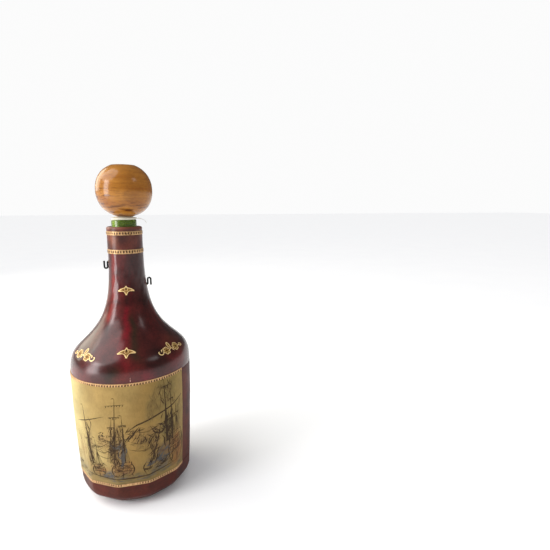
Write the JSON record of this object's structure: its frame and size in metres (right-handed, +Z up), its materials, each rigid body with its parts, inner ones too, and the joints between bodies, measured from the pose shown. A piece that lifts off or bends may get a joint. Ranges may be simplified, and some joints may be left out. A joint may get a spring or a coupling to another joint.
{
  "type": "decanter bottle",
  "caption": "Leather-covered glass decanter bottle with a sailing-ship picture panel, swivelling neck hooks and a lift-out wooden ball stopper.",
  "frame": {"origin": "centre of the base disc's underside, on the bottle's axis", "axes": "+Z up along the bottle's axis; -Y is the front, the side with the lily ornaments"},
  "size_m": [0.1243, 0.1243, 0.3492],
  "materials": {
    "green_glass": "polished",
    "red_leather": "lacquered",
    "brown_leather": "lacquered",
    "parchment": "varnished",
    "gilt_border": "gilt tooled",
    "gilt_band": "gilt tooled",
    "gilt_foil": "gilt",
    "eyelet_brass": "tarnished",
    "dark_wire": "darkened",
    "white_plastic": "satin",
    "honey_wood": "lacquered",
    "felt": "matt"
  },
  "bodies": {
    "bottle": {"glass_bottle": "green_glass", "shoulder_cover": "red_leather", "neck_collar": "brown_leather", "body_wrap": "red_leather", "heel_cover": "red_leather", "base_disc": "felt", "ship_panel": "parchment", "panel_border_top": "gilt_border", "panel_border_bottom": "gilt_border", "neck_band_upper": "gilt_band", "neck_band_lower": "gilt_band", "neck_fleur": "gilt_foil", "shoulder_fleur": "gilt_foil", "spray_right": "gilt_foil", "spray_left": "gilt_foil", "eyelet_left": "eyelet_brass", "eyelet_right": "eyelet_brass"},
    "left_hook": {"hook_left": "dark_wire"},
    "right_hook": {"hook_right": "dark_wire"},
    "stopper": {"stopper_plug": "white_plastic", "stopper_ball": "honey_wood", "stopper_strand": "white_plastic"}
  },
  "joints": [
    {"name": "stopper_lift", "type": "slide", "parent": "bottle", "child": "stopper", "axis": [0, 0, 1], "range_m": [0, 0.05]},
    {"name": "left_hook_swivel", "type": "hinge", "parent": "bottle", "child": "left_hook", "pos_m": [-0.0178, 0, 0.2503], "axis": [1, 0, 0], "continuous": true},
    {"name": "right_hook_swivel", "type": "hinge", "parent": "bottle", "child": "right_hook", "pos_m": [0.0194, 0, 0.2244], "axis": [1, 0, 0], "range_deg": [-120, 120]}
  ]
}
